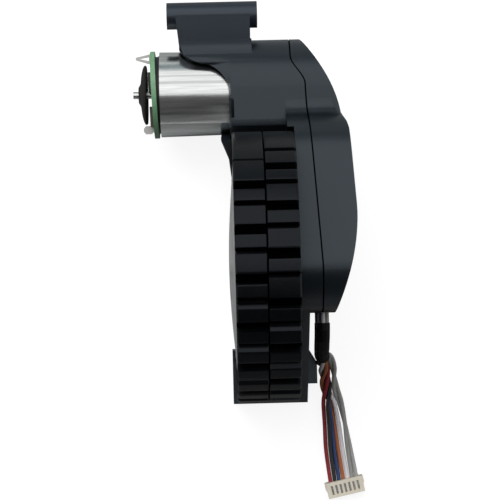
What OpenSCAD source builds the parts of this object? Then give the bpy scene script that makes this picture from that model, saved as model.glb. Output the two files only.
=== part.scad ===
/* [Hinge] */
// Outer diameter of the hinge tube
hinge_d = 7.4; // [6.4:0.1:9]
// Length of the hinge tube
hinge_len = 25; // [21:0.5:30]
// Bore of the hinge tube for the chassis pin
hinge_bore_d = 4; // [3:0.1:5]
// Thickness of the web that joins the tube to the case
web_t = 5.2; // [3.5:0.1:6]

/* [Motor] */
// Distance from the hinge axis to the motor axis along X
motor_x = 21.5; // [20.5:0.1:24]
// Height of the motor axis above the hinge axis
motor_z = -3; // [-5:0.1:0]
// Diameter of the motor can
can_d = 24.4; // [22:0.1:25]
// Y of the rear end of the motor can
can_rear_y = -14.8; // [-16:0.1:-12]
// Y of the front end of the motor can
can_front_y = 16.2; // [14:0.1:17]
// Diameter of the motor shaft
shaft_d = 2; // [1.5:0.1:2.4]
// Diameter of the front bearing boss of the motor
front_boss_d = 6.2; // [5:0.1:7]
// Diameter of the encoder board
board_d = 24.2; // [20:0.1:24.4]
// Thickness of the encoder board
board_t = 1.3; // [0.8:0.1:1.6]
// Tilt of the board on its spacer
board_tilt = 1.9; // [0:0.1:2]
// Diameter of the encoder disc
disc_d = 16.6; // [14:0.1:18]

/* [Gear case] */
// Outer radius of the case round the motor
lobe_r = 14.6; // [14.4:0.1:16]
// Wall thickness of both case shells
wall = 1.6; // [1.2:0.1:1.8]
// Outer radius of the case round the gears
gear_lobe_r = 16.5; // [16:0.1:18]
// Outer radius of the case round the wheel axle
axle_lobe_r = 12.6; // [12.5:0.1:14]
// Y of the open end of the motor socket
socket_y = 4.2; // [2:0.1:6]
// Furthest Y of the outer cover, beside the wheel axle
cover_y = 37; // [36.6:0.1:38]
// Y of the outer cover at the hinge side of the gears
cover_mid_y = 35.9; // [35.4:0.1:36.5]
// Y of the outer cover beside the motor
cover_shoulder_y = 34.4; // [34:0.1:35.2]
// Y of the outer cover at its hinge end
cover_low_y = 23.9; // [23.6:0.1:25]
// Y of the outer cover at the wheel end
cover_tip_y = 30.9; // [30.5:0.1:32]
// Y of the parting line at the hinge end
seam_low_y = 21; // [20.5:0.1:22]
// Y of the parting line at the wheel end
seam_high_y = 27.4; // [27:0.1:28]

/* [Gears] */
// Pressure angle of all gears
pressure_angle = 25; // [20:1:28]
// Backlash on each tooth thickness
backlash = 0.08; // [0.04:0.01:0.12]
// Module of the first stage
module_1 = 0.5; // [0.48:0.01:0.52]
// Module of the second stage
module_2 = 0.6; // [0.58:0.01:0.62]
// Module of the third stage
module_3 = 0.7; // [0.68:0.01:0.71]
// Module of the fourth stage
module_4 = 0.8; // [0.78:0.01:0.82]
// Diameter of the gear pins
pin_d = 2; // [1.6:0.1:2.4]

/* [Wheel] */
// Diameter of the wheel over the tread blocks
wheel_d = 72; // [70:0.5:73]
// Y of the free side of the tyre
tyre_y = 4.5; // [4:0.1:5]
// Width of the tyre
tyre_w = 16.4; // [15:0.1:16.6]
// Depth of the deep tread grooves
groove_depth = 2.6; // [1.5:0.1:3]
// Depth of the shallow grooves between paired blocks
slit_depth = 2; // [0.8:0.1:2.2]
// Number of block pairs in one tread row
tread_n = 18; // [14:1:22]
// Thickness of the tyre under its grooves
tyre_base = 2.4; // [1.8:0.1:3]
// Diameter of the wheel axle
axle_d = 5; // [4:0.1:5.4]
// Gap between the tyre and the guard round it
guard_gap = 1.25; // [1:0.05:2]
// Thickness of the guard under the wheel
guard_t = 1.6; // [1.2:0.1:2]

// Diameter of the hole in the spring ear
spring_hole_d = 3; // [2:0.1:3.4]

/* [Harness] */
// Diameter of each wire
wire_d = 1; // [0.8:0.05:1.04]
// Diameter of the sleeve over the wires
sleeve_d = 4.2; // [3.9:0.1:4.3]
// Pitch of the contacts in the plug
plug_pitch = 1.25; // [1.2:0.01:1.3]

/* [Hidden] */
$fn = 72;

// Teeth of each stage: the driving pinion, then the driven gear
pinion_n = [11, 12, 12, 12];
gear_n = [40, 34, 32, 24];
stage_m = [module_1, module_2, module_3, module_4];
// Direction of the first three stages in the side view, up from the X axis
first_dirs = [0, 35, 44];
gear_gap = 0.15;
run_gap = 0.05;
seat_gap = 0.02;

// Shafts of the train in the side view, as [x, z]
function centre_distance(i) = (pinion_n[i] + gear_n[i]) * stage_m[i] / 2;
function polar(r, a) = [r * cos(a), r * sin(a)];
motor_pt = [motor_x, motor_z];
first_pt = motor_pt + polar(centre_distance(0), first_dirs[0]);
second_pt = first_pt + polar(centre_distance(1), first_dirs[1]);
third_pt = second_pt + polar(centre_distance(2), first_dirs[2]);
lobe_pt = second_pt + [-0.5, 5.1];
wheel_r = wheel_d / 2;
guard_in = wheel_r + guard_gap;
guard_out = guard_in + guard_t;
// The last stage puts the guard on one level with the case round the motor
floor_z = motor_z - lobe_r;
last_dir = asin((floor_z + guard_out - third_pt[1]) / centre_distance(3));
stage_a = [each first_dirs, last_dir];
wheel_pt = third_pt + polar(centre_distance(3), last_dir);

// Planes of the train along Y: the last gear lies by the wheel axle's bearing and the third
// gear passes outside the end of the axle
chamber_y = 23.8;
train_y = 24.1;
first_y = [train_y, 25.7];
output_y = [train_y, 26.7];
second_y = [28.9, 30.5];
third_y = [30.7, 32.3];
pin_y = [22.7, 34.2];
case_boss_y = train_y - gear_gap;
// Each gear pin with the Y of the cover boss over its gear
pin_bosses = [[first_pt, second_y[1] + gear_gap], [second_pt, third_y[1] + gear_gap],
              [third_pt, third_y[1] + gear_gap]];

tail_x = wheel_pt[0] + guard_in + guard_t - 0.4;
arm_y = 22.2;
skirt_y = [arm_y, arm_y + 2];
ear_out = 3;
plate_y = [16.2, 18.2];
can_r = can_d / 2;
bore_r = can_r + 0.15;
rim_r = wheel_r - groove_depth - tyre_base;
bearing_r = axle_d;
axle_flat = axle_d * 0.42;

// Outer cover in plan: Y of its outer face at x
dome_x = motor_x - lobe_r;
valley_x = motor_x + lobe_r * 0.48;
end_x = wheel_pt[0] + axle_lobe_r;
taper_x = end_x - 27.5;
rise_l = 4.5;
dome_turn = 76;
function share(x, x0, x1) = min(1, max(0, (x - x0) / (x1 - x0)));
function ramp(t) = let (u = min(1, max(0, t))) u * u * (3 - 2 * u);
function dome(x) = cover_low_y + (cover_shoulder_y - cover_low_y)
    * sin(dome_turn * share(x, dome_x, valley_x)) / sin(dome_turn);
function rise(x) = (cover_mid_y - cover_shoulder_y) * ramp((x - valley_x) / rise_l)
    + (cover_y - cover_mid_y) * share(x, valley_x + rise_l, taper_x);
function taper(x) = (cover_y - cover_tip_y) * (1 - cos(90 * share(x, taper_x, end_x)));
function cover_face(x) = dome(x) + rise(x) - taper(x);
// Parting line in plan: Y of the seam at x
step_x = motor_x - 9;
seam_mid_y = seam_high_y - 2.6;
function seam(x) = seam_low_y + (seam_mid_y - seam_low_y) * ramp((x - step_x) / 8)
    + (seam_high_y - seam_mid_y) * min(1, max(0, (x - motor_x) / (wheel_pt[0] - motor_x)));

screw_pts = [[motor_x - 9.5, motor_z + 8], [motor_x - 9.5, motor_z - 8],
             lobe_pt + [-7, 9], second_pt + [12.2, -7.6]];
screw_grip = 2.5;
screw_bite = 3;
case_post_r = 2.2;
cover_post_r = 3.2;
screw_r = 1;
screw_head_r = 1.9;
// Offset of the two motor screws from the motor axis
motor_screw_z = 8;
motor_screw_l = 5;

// Route of the harness, sleeve first and then the loose wires
sleeve_route = [[85.5, 27.9, 12.6], [86.8, 27.9, 12.6], [89.4, 27.9, 11], [91.5, 27.9, 8.4],
                [93.2, 28, 5.2], [94.3, 28.1, 2.1], [95.3, 28.4, -0.7]];
wire_route = [[95.34, 28.41, -0.81], [96.4, 28.8, -3.6], [97.8, 29.4, -6.2], [99.4, 29.9, -8.6],
              [101.4, 30.1, -10.7], [103.8, 30.4, -12.5], [106.5, 30.8, -13.9], [109.4, 31.5, -14.9],
              [115.4, 32.4, -16.2], [122.6, 33.1, -16.6], [131.4, 34.3, -16.2]];
plug_turn = 12;

// Solids between two planes along Y, drawn as [x, z]
module along_y(y0, y1) {
    translate([0, y1, 0]) rotate([90, 0, 0]) linear_extrude(y1 - y0) children();
}

module rod_y(p, r, y0, y1) {
    translate([p[0], y1, p[1]]) rotate([90, 0, 0]) cylinder(r = r, h = y1 - y0);
}

// Revolved solid about an axis along Y, drawn as [radius, y]
module turned_y(p) {
    translate([p[0], 0, p[1]]) rotate([-90, 0, 0]) rotate_extrude() children();
}

// Two circles with the straight tangents between them
module taper_2d(p, rp, q, rq) {
    d = norm(q - p);
    a = atan2(q[1] - p[1], q[0] - p[0]);
    b = acos((rp - rq) / d);
    translate(p) circle(rp);
    translate(q) circle(rq);
    polygon([p + polar(rp, a + b), p + polar(rp, a - b), q + polar(rq, a - b), q + polar(rq, a + b)]);
}

// Fill under the lower tangent of two circles
module bridge_2d(p, rp, q, rq) {
    d = norm(q - p);
    a = atan2(q[1] - p[1], q[0] - p[0]) - acos((rp - rq) / d);
    translate(q) circle(rq);
    polygon([p, p + polar(rp, a), q + polar(rq, a), q]);
}

// Side view of the gear chamber, drawn in by a wall
module chamber_2d(inset) {
    first_r = 12.4;
    second_r = 12.7;
    taper_2d(lobe_pt, gear_lobe_r - inset, wheel_pt, axle_lobe_r - inset);
    bridge_2d(motor_pt, lobe_r - inset, first_pt, first_r - inset);
    bridge_2d(first_pt, first_r - inset, second_pt, second_r - inset);
    bridge_2d(second_pt, second_r - inset, wheel_pt, axle_lobe_r - inset);
}

// Y of the case's wall beside the wheel
case_y = 19.5;

// The motor lobe runs out flat on top, from just past its crest to the lobe of the gears
flat_from = 1.5;
flat_to = 9;

module case_2d(inset) {
    translate(motor_pt) circle(lobe_r - inset);
    translate(motor_pt + [flat_from, 0]) square([flat_to - flat_from, lobe_r - inset]);
    translate(screw_pts[3]) circle(cover_post_r - inset / 2);
    chamber_2d(inset);
}

// Plan view of all that lies on the wheel side of the seam, drawn as [x, y]
module case_side_2d() {
    xs = [dome_x - 10, for (x = [step_x:1:step_x + 8]) x, motor_x, wheel_pt[0], end_x + 30];
    polygon([[xs[0], -30], for (x = xs) [x, seam(x)], [end_x + 30, -30]]);
}

module cover_side_2d(inset) {
    xs = [for (i = [0:40]) dome_x - 0.01 + (end_x - dome_x + 0.02) * i / 40];
    polygon([[dome_x - 1, 0], for (x = xs) [x, cover_face(x) - inset], [end_x + 1, 0]]);
}

module in_plan(z0, z1) {
    translate([0, 0, z0]) linear_extrude(z1 - z0) children();
}

// Edge of the socket over the motor, swept from the web to the full depth
function bezier(p, t) = p[0] * pow(1 - t, 3) + p[1] * 3 * t * pow(1 - t, 2)
    + p[2] * 3 * t * t * (1 - t) + p[3] * pow(t, 3);
shroud_start = [motor_x - 11.6, socket_y - 13.4];
shroud_mid = shroud_start + [4.2, 6.8];
shroud_end = [motor_x, socket_y];
shroud_tip = [shroud_start, shroud_start + [2.3, 1], shroud_mid - [0.2, 2.2], shroud_mid];
shroud_corner = [shroud_mid, shroud_mid + [0.3, 2.6], shroud_end - [3.9, 0.1], shroud_end];

module shroud_plan() {
    x0 = dome_x - 2;
    polygon([[x0, socket_y + 0.5], [x0, shroud_start[1]], for (i = [0:7]) bezier(shroud_tip, i / 8),
        for (i = [0:10]) bezier(shroud_corner, i / 10), [motor_x, socket_y + 0.5]]);
}

module shroud() {
    intersection() {
        difference() {
            rod_y(motor_pt, lobe_r, shroud_start[1] - 1, socket_y + 1);
            rod_y(motor_pt, bore_r, shroud_start[1] - 2, socket_y + 2);
        }
        in_plan(-40, 40) shroud_plan();
    }
}

module hinge_web() {
    tube_r = hinge_d / 2;
    half = hinge_len / 2;
    web_up = 2;
    join_x = motor_x - sqrt(pow(lobe_r, 2) - pow(web_up, 2));
    top_z = motor_z + web_up;
    rod_y([0, 0], tube_r, -half, half);
    intersection() {
        along_y(-half, half) polygon([[0.8, tube_r - 0.15], [join_x, top_z], [join_x + 1, top_z - web_t],
            [0.5, tube_r - web_t - 0.6]]);
        in_plan(-20, 20) polygon([[0, 2.4 - half], [join_x + 2, shroud_start[1]],
            [join_x + 2, half - 2], [0, half - 2]]);
    }
    // Pad that runs the web out on the socket
    intersection() {
        along_y(shroud_start[1], half - 1.7) taper_2d(motor_pt, lobe_r, motor_pt + [1.1 - lobe_r, 4], 1.3);
        translate([dome_x - 2, -half, motor_z + web_up - 1]) cube([7, hinge_len, lobe_r]);
        in_plan(-40, 40) union() {
            shroud_plan();
            translate([dome_x - 2, socket_y]) square([7, half]);
        }
    }
}

// Flat top of the motor socket, out to the gap in front of the tyre
pad_y = 5.5;
pad_end = 8.4;
pad_z = motor_z + lobe_r;
pad_edge = 0.5;

module well_pad() {
    x0 = motor_x + flat_from;
    x1 = motor_x + pad_end;
    along_y(pad_y, case_y + 0.5) polygon([[x0, pad_z - 5], [x0, pad_z], [x1, pad_z],
        [x1 + pad_edge, pad_z - pad_edge], [x1 + 5, pad_z - pad_edge], [x1 + 5, pad_z - 7],
        [x1, pad_z - 7]]);
    along_y(socket_y, pad_y) polygon([[x1 - 1, pad_z - 7], [x1, pad_z - 2.6], [x1 + 5, pad_z - 2.6],
        [x1 + 5, pad_z - 7]]);
}

// Space round the wheel, with a gap to the side of the tyre
side_gap = 0.35;
side_y = tyre_y + tyre_w + side_gap;
well_r = wheel_pt[0] - motor_x - 8.34;

module wheel_well() {
    rod_y(wheel_pt, guard_in, -20, side_y);
    intersection() {
        rod_y(wheel_pt, well_r, -20, case_y);
        translate([motor_x, -20, motor_z + 3]) cube([120, 60, 60]);
    }
}

// Foot between the motor socket and the guard, cut back beside the wheel
module guard_foot() {
    intersection() {
        along_y(0, 24) polygon([motor_pt + [8, -11.5], motor_pt + [11, 3], wheel_pt + polar(guard_out, 206),
            wheel_pt + polar(guard_out, 232)]);
        in_plan(-40, 40) polygon([[motor_x, socket_y], [motor_x + 12.6, 1.7], [motor_x + 18, 3.8],
            [motor_x + 26, tyre_y + 0.2], [motor_x + 26, 24], [motor_x, 24]]);
    }
}

module guard() {
    y0 = tyre_y + 0.2;
    difference() {
        union() {
            intersection() {
                rod_y(wheel_pt, guard_out, y0, arm_y + 0.4);
                along_y(0, 30) polygon([wheel_pt, wheel_pt + polar(90, 206), wheel_pt + [-90, -90],
                    wheel_pt + [90, -90], wheel_pt + polar(90, -44)]);
            }
            guard_foot();
            tail();
        }
        rod_y(wheel_pt, guard_in, -20, 22);
    }
}

tail_y = 3.5;
tail_top = floor_z + 12.6;

// Open box at the free end of the guard
module tail() {
    x0 = tail_x - 14.8;
    deep = tail_x - x0;
    high = tail_top - floor_z;
    wide = 24.2 - tail_y;
    translate([x0, tail_y, floor_z]) {
        cube([deep, wide, guard_t]);
        translate([deep - guard_t, 0, 0]) cube([guard_t, wide, high]);
        cube([deep, 1.4, high]);
        translate([0, wide / 2, 0]) cube([deep, 1.4, high]);
    }
}

// Side wall below the gear chamber, out to the tail
module skirt() {
    along_y(skirt_y[0], skirt_y[1]) intersection() {
        union() {
            translate(wheel_pt) circle(guard_out);
            translate([wheel_pt[0], floor_z]) square([tail_x - wheel_pt[0], guard_out]);
        }
        polygon([wheel_pt + [0, 8], wheel_pt + [axle_lobe_r - 1, 4], [tail_x, tail_top], [tail_x, floor_z],
            [motor_x, floor_z], motor_pt, second_pt]);
    }
}

// Spring ear on the skirt, with its sloped side
module spring_ear() {
    x0 = tail_x - 16;
    foot_y = skirt_y[0] + 0.8;
    tip_y = skirt_y[1] + ear_out;
    in_plan(floor_z + 1, floor_z + 9.4) polygon([[x0 - 2, foot_y], [x0, skirt_y[1]], [x0 + 5, tip_y],
        [x0 + 11, tip_y], [x0 + 11, foot_y]]);
}

spring_pt = [tail_x - 9.6, floor_z + 4.2];
boss_r = bearing_r + 3;
boss_y = 14;
bearing_w = 4;
bearing_y = [boss_y + 0.4, chamber_y - bearing_w];

module harness_way() {
    translate([end_x - 12, sleeve_route[0][1], sleeve_route[0][2]]) rotate([0, 90, 0])
        cylinder(r = sleeve_d / 2 + 0.2, h = 16);
}

// Solid form of the motor socket and the wheel side of the gear chamber
module case_body() {
    intersection() {
        union() {
            along_y(socket_y, 40) translate(motor_pt) circle(lobe_r);
            along_y(case_y, 40) case_2d(0);
        }
        in_plan(-60, 80) case_side_2d();
    }
}

module arm_case() color("darkslategray") {
    difference() {
        union() {
            case_body();
            shroud();
            hinge_web();
            well_pad();
            rod_y(wheel_pt, boss_r, boss_y, arm_y + 1);
        }
        difference() {
            wheel_well();
            rod_y(wheel_pt, boss_r, boss_y, arm_y + 1);
        }
        rod_y([0, 0], hinge_bore_d / 2, -hinge_len, hinge_len);
        // Motor socket, plate holes and the open gear chamber
        rod_y(motor_pt, bore_r, socket_y - 30, can_front_y);
        rod_y(motor_pt, front_boss_d / 2 + 0.1, can_front_y - 1, plate_y[1] + 1);
        for (s = [-1, 1])
            rod_y(motor_pt + [0, s * motor_screw_z], screw_r + 0.05, can_front_y - 1, plate_y[1] + 1);
        difference() {
            union() {
                along_y(plate_y[1], 50) translate(motor_pt) circle(lobe_r - wall);
                along_y(chamber_y, 50) case_2d(wall);
            }
            for (p = screw_pts) rod_y(p, case_post_r, 10, 50);
            for (b = pin_bosses) rod_y(b[0], pin_d / 2 + 1, 10, case_boss_y);
        }
        for (p = screw_pts) rod_y(p, screw_r + 0.05, seam(p[0]) - screw_bite - 0.1, 50);
        for (p = [first_pt, second_pt, third_pt]) rod_y(p, pin_d / 2 + seat_gap, pin_y[0], 50);
        // Seats of the two axle bearings
        rod_y(wheel_pt, bearing_r + seat_gap, boss_y - 1, bearing_y[0] + bearing_w);
        rod_y(wheel_pt, bearing_r + seat_gap, bearing_y[1], 50);
        rod_y(wheel_pt, bearing_r - 1, boss_y - 1, 50);
        harness_way();
        lead_way();
    }
}

// Fender under the wheel with its open tail and the ear for the spring
module wheel_guard() color("darkslategray") {
    difference() {
        union() {
            guard();
            skirt();
            spring_ear();
        }
        case_body();
        well_pad();
        lead_way();
        rod_y(motor_pt, bore_r, -20, socket_y + 1);
        rod_y(wheel_pt, guard_in, -20, arm_y);
        rod_y(spring_pt, spring_hole_d / 2, 20, 30);
    }
}

lead_pts = [for (a = [-48, -53.5, -59]) motor_pt + polar(can_r + 0.75, a)];
lead_d = 1;

module lead_way() {
    for (p = lead_pts) rod_y(p, lead_d / 2 + 0.1, 0, socket_y + 4);
}

// Shadow gap along the parting line, in the rim of the cover
seam_gap_w = 0.25;
seam_gap_depth = 0.5;

module seam_gap() {
    difference() {
        in_plan(-60, 80) translate([0, seam_gap_w]) case_side_2d();
        along_y(0, 60) case_2d(seam_gap_depth);
    }
}

module outer_cover() color("slategray") {
    difference() {
        intersection() {
            along_y(0, 60) case_2d(0);
            in_plan(-60, 80) cover_side_2d(0);
        }
        in_plan(-60, 80) case_side_2d();
        seam_gap();
        difference() {
            intersection() {
                along_y(0, 60) case_2d(wall);
                in_plan(-60, 80) cover_side_2d(wall);
            }
            for (p = screw_pts) rod_y(p, cover_post_r, 10, 60);
            for (b = pin_bosses) rod_y(b[0], pin_d / 2 + 1.4, b[1], 60);
        }
        for (p = screw_pts) {
            rod_y(p, screw_r + 0.1, 10, 60);
            rod_y(p, screw_head_r + 0.2, seam(p[0]) + screw_grip, 60);
        }
        for (p = [first_pt, second_pt, third_pt]) rod_y(p, pin_d / 2 + seat_gap, 10, pin_y[1] + 0.1);
        harness_way();
    }
}

// Pan-head screw along Y, head towards +Y
module pan_screw(p, y, shank_r, len, head_r, head_t) {
    rod_y(p, shank_r, y - len, y + 0.01);
    difference() {
        rod_y(p, head_r, y, y + head_t);
        for (a = [0, 90]) translate([p[0], y + head_t, p[1]]) rotate([0, a, 0])
            cube([head_r * 1.1, head_t, 0.5], center = true);
    }
}

module cover_screws() color("dimgray") {
    for (p = screw_pts)
        pan_screw(p, seam(p[0]) + screw_grip, screw_r, screw_grip + screw_bite, screw_head_r, 1.3);
}

module motor_can() color("silver") {
    edge = 0.9;
    y0 = can_rear_y;
    y1 = can_front_y;
    bore = shaft_d / 2 + run_gap;
    difference() {
        turned_y(motor_pt) polygon([[bore, y0 + 0.6], [can_r - 1.3, y0 + 0.6], [can_r - 1.3, y0],
            [can_r - 0.4, y0],
            for (a = [0:22.5:90]) [can_r - edge + edge * sin(a), y1 - edge + edge * cos(a)],
            [bore, y1]]);
        for (s = [-1, 1]) translate([0, y1 - motor_screw_l + 1, 0])
            rod_y(motor_pt + [0, s * motor_screw_z], screw_r + 0.03, 0, motor_screw_l);
    }
}

cap_y = can_rear_y - 0.3;

module motor_end_cap() color("black") {
    bore = shaft_d / 2 + run_gap;
    difference() {
        union() {
            rod_y(motor_pt, can_r - 1.35, cap_y, can_rear_y + 0.6);
            rod_y(motor_pt, 2, cap_y - 0.4, cap_y);
        }
        rod_y(motor_pt, bore, cap_y - 2, can_rear_y + 2);
        terminal_slots(0.1);
    }
}

module motor_front_boss() color("goldenrod") {
    difference() {
        rod_y(motor_pt, front_boss_d / 2, can_front_y, can_front_y + 1.6);
        rod_y(motor_pt, shaft_d / 2 + run_gap, can_front_y - 1, can_front_y + 3);
    }
}

module motor_screws() color("silver") {
    for (s = [-1, 1])
        pan_screw(motor_pt + [0, s * motor_screw_z], plate_y[1], screw_r, motor_screw_l, screw_head_r, 1.2);
}

shaft_rear_y = -22.4;

module motor_shaft() color("silver") {
    rod_y(motor_pt, shaft_d / 2, shaft_rear_y, first_y[1] + 0.4);
}

// Board plane at the axis, turned a little about the vertical
board_y = cap_y - 0.6;
module on_board() {
    translate([motor_pt[0], board_y, motor_pt[1]]) rotate([0, 0, board_tilt]) children();
}

tab_x = [8.6, 10.4];

// Slots for the two terminal tabs, through the cap and the board
module terminal_slots(gap) {
    for (s = [-1, 1]) translate([motor_pt[0] + s * (tab_x[0] + tab_x[1]) / 2, can_rear_y, motor_pt[1]])
        cube([tab_x[1] - tab_x[0] + 2 * gap, 9, 0.4 + 2 * gap], center = true);
}

module board_disc(r, y0, y1) {
    translate([0, y1, 0]) rotate([90, 0, 0]) cylinder(r = r, h = y1 - y0);
}

module encoder_board() color("seagreen") {
    difference() {
        on_board() difference() {
            board_disc(board_d / 2, -board_t, 0);
            board_disc(2.2, -board_t - 1, 1);
        }
        terminal_slots(0.2);
    }
}

module board_spacer() color("black") {
    intersection() {
        difference() {
            rod_y(motor_pt, can_r - 1.6, board_y - 2, cap_y);
            rod_y(motor_pt, 3.3, board_y - 3, cap_y + 1);
            terminal_slots(0.3);
        }
        on_board() translate([-20, 0, -20]) cube([40, 10, 40]);
    }
}

hall_size = [5.5, 0.9, 3.4];
hall_x = [-3.2, 6.3];
hall_z = 2.4;

module hall_sensors() color("black") {
    on_board() for (x = hall_x) translate([x - hall_size[0] / 2, -board_t - hall_size[1], hall_z])
        cube(hall_size);
}

disc_y = [-20.9, -18.5];

module encoder_disc() color("dimgray") {
    r = disc_d / 2;
    y0 = disc_y[0];
    y1 = disc_y[1];
    turned_y(motor_pt) polygon([[shaft_d / 2 + seat_gap, y0], [2.2, y0], [3, y0 + 0.5],
        for (a = [25:13:90]) [r * sin(a), y1 - 0.4 - 1.5 * cos(a)], [r - 0.3, y1], [4, y1 - 0.2],
        [3, y1 - 0.6], [shaft_d / 2 + seat_gap, y1 - 0.6]]);
}

// Eyelet tabs that stand out through the board: one is a straight loop, the other a soldered knob
module motor_terminals() color("silver") {
    a = tab_x[0];
    b = tab_x[1];
    y0 = board_y - board_t - 0.5;
    tip = y0 - 4;
    root = can_rear_y + 0.2;
    translate([motor_pt[0], 0, motor_pt[1] - 0.2]) {
        mirror([1, 0, 0]) linear_extrude(0.4) difference() {
            polygon([[a, root], [b, root], [b, y0], [b + 1, y0], [b + 0.2, tip + 0.3], [b, tip],
                [b - 0.5, tip], [b - 0.7, tip + 0.3], [a, y0]]);
            polygon([[a + 0.9, y0 - 0.3], [b + 0.2, y0 - 0.3], [b - 0.25, tip + 1]]);
        }
        linear_extrude(0.4) polygon([[a, root], [b, root], [b, y0 + 0.3], [b + 0.4, y0 + 0.2],
            [b + 0.5, y0 - 1.6], [b - 0.2, y0 - 2.2], [a + 0.7, y0 - 2.2], [a, y0 - 1.6]]);
    }
}

module motor_leads() color("firebrick") {
    for (p = lead_pts) rod_y(p, lead_d / 2, board_y + 0.5, socket_y + 3.9);
}

module gear_pins() color("silver") {
    for (p = [first_pt, second_pt, third_pt]) rod_y(p, pin_d / 2, pin_y[0], pin_y[1]);
}

// Involute gear outline centred on the origin, one tooth at the angle phase
function involute(a) = tan(a) * 180 / PI - a;
function tooth_half(n, m, r) = let (rb = n * m * cos(pressure_angle) / 2)
    90 / n - backlash / (n * m) * 180 / PI + involute(pressure_angle)
    - (r > rb ? involute(acos(rb / r)) : 0);
module gear_2d(n, m, phase) {
    pitch_r = n * m / 2;
    root = pitch_r - 1.25 * m;
    tip = pitch_r + m;
    rs = [root, max(root + 0.15 * m, pitch_r - 0.45 * m), pitch_r + 0.3 * m, tip];
    polygon([for (i = [0:n - 1]) let (c = phase + i * 360 / n)
        each concat([for (r = rs) polar(r, c - tooth_half(n, m, r))],
                    [for (k = [3:-1:0]) polar(rs[k], c + tooth_half(n, m, rs[k]))])]);
}

// Phase of the driven gear that meshes with the driving one
function mesh(i, phase) = stage_a[i] + 180
    + 360 / gear_n[i] * (0.5 - (phase - stage_a[i]) / (360 / pinion_n[i]));
first_phase = mesh(0, 0);
second_phase = mesh(1, first_phase);
third_phase = mesh(2, second_phase);
output_phase = mesh(3, third_phase);

module motor_pinion() color("goldenrod") {
    difference() {
        along_y(first_y[0] - 0.6, first_y[1]) translate(motor_pt) gear_2d(pinion_n[0], module_1, 0);
        rod_y(motor_pt, shaft_d / 2 + seat_gap, 0, 60);
    }
}

// Large gear and small pinion on one hub, i is the stage that drives it
module compound_gear(i, p, big_y, small_y, phase) {
    difference() {
        union() {
            along_y(big_y[0], big_y[1]) difference() {
                translate(p) gear_2d(gear_n[i], stage_m[i], phase);
                for (k = [0:4]) translate(p + polar(gear_n[i] * stage_m[i] * 0.31, 36 + 72 * k)) circle(1.5);
            }
            along_y(small_y[0], small_y[1]) translate(p) gear_2d(pinion_n[i + 1], stage_m[i + 1], phase);
            rod_y(p, pin_d / 2 + 1.5, train_y, max(big_y[1], small_y[1]));
        }
        rod_y(p, pin_d / 2 + run_gap, 0, 60);
    }
}

module first_gear() color("ivory") {
    compound_gear(0, first_pt, first_y, [second_y[0] - 0.1, second_y[1]], first_phase);
}

module second_gear() color("ivory") {
    compound_gear(1, second_pt, second_y, [second_y[1], third_y[1]], second_phase);
}

module third_gear() color("ivory") {
    compound_gear(2, third_pt, third_y, [output_y[0], output_y[1] + 0.1], third_phase);
}

gear_hub_y = 29;

// Bore with one flat that drives the wheel
module flat_bore(gap) {
    r = axle_d / 2 + gap;
    intersection() {
        circle(r);
        translate([-r, -r]) square([r + axle_flat + gap, 2 * r]);
    }
}

module output_gear() color("ivory") {
    difference() {
        union() {
            along_y(output_y[0], output_y[1]) translate(wheel_pt) gear_2d(gear_n[3], module_4, output_phase);
            rod_y(wheel_pt, axle_d / 2 + 1.8, output_y[1], gear_hub_y);
        }
        along_y(20, 40) translate(wheel_pt) flat_bore(seat_gap);
    }
}

axle_y = [5.7, 30.4];
hub_boss_y = [5.5, 13.6];
clip_t = 0.6;

module wheel_axle() color("silver") {
    difference() {
        union() {
            rod_y(wheel_pt, axle_d / 2, hub_boss_y[1], output_y[0]);
            along_y(axle_y[0], hub_boss_y[1]) translate(wheel_pt) flat_bore(0);
            along_y(output_y[0], axle_y[1]) translate(wheel_pt) flat_bore(0);
        }
        rod_y(wheel_pt, 1.27, axle_y[0] - 1, axle_y[0] + 6);
        difference() {
            rod_y(wheel_pt, axle_d, gear_hub_y + 0.05, gear_hub_y + clip_t + 0.15);
            rod_y(wheel_pt, axle_d / 2 - 0.6, gear_hub_y, gear_hub_y + 2);
        }
    }
}

module axle_bearings() color("silver") {
    for (y = bearing_y) turned_y(wheel_pt) polygon([[axle_d / 2 + 0.03, y], [axle_d / 2 + 0.8, y],
        [axle_d / 2 + 0.9, y + 0.3], [bearing_r - 0.9, y + 0.3], [bearing_r - 0.8, y], [bearing_r, y],
        [bearing_r, y + bearing_w], [axle_d / 2 + 0.03, y + bearing_w]]);
}

module axle_clip() color("silver") {
    along_y(gear_hub_y + 0.1, gear_hub_y + 0.1 + clip_t) translate(wheel_pt) difference() {
        circle(axle_d / 2 + 1.4);
        circle(axle_d / 2 - 0.58);
        translate([0, -1.5]) square([9, 3]);
    }
}

hub_web_y = [5.2, 7.2];
cap_r = rim_r - 2.2;

module wheel_hub() color("dimgray") {
    y1 = tyre_y + tyre_w - 0.3;
    difference() {
        union() {
            difference() {
                rod_y(wheel_pt, rim_r, hub_web_y[0] - 0.3, y1);
                rod_y(wheel_pt, rim_r - 2, hub_web_y[1], y1 + 1);
                rod_y(wheel_pt, cap_r + 0.1, hub_web_y[0] - 1, hub_web_y[0]);
            }
            rod_y(wheel_pt, 6, hub_web_y[0], hub_boss_y[1]);
            for (a = [0:45:315]) translate([wheel_pt[0], 0, wheel_pt[1]]) rotate([0, a, 0])
                translate([5, hub_web_y[1] - 0.5, -0.8]) cube([rim_r - 6.5, 5, 1.6]);
        }
        rod_y(wheel_pt, 3, 0, hub_boss_y[0]);
        along_y(0, 30) translate(wheel_pt) flat_bore(seat_gap);
    }
}

// Tread angles of one row in one period: wide block, deep groove, narrow block, slit
period = 360 / tread_n;
wide_a = period * 0.4;
deep_a = period * 0.215;
narrow_a = period * 0.29;
row_split = 0.495;
row_gap = 0.2;
tread_lead = 2;

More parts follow.
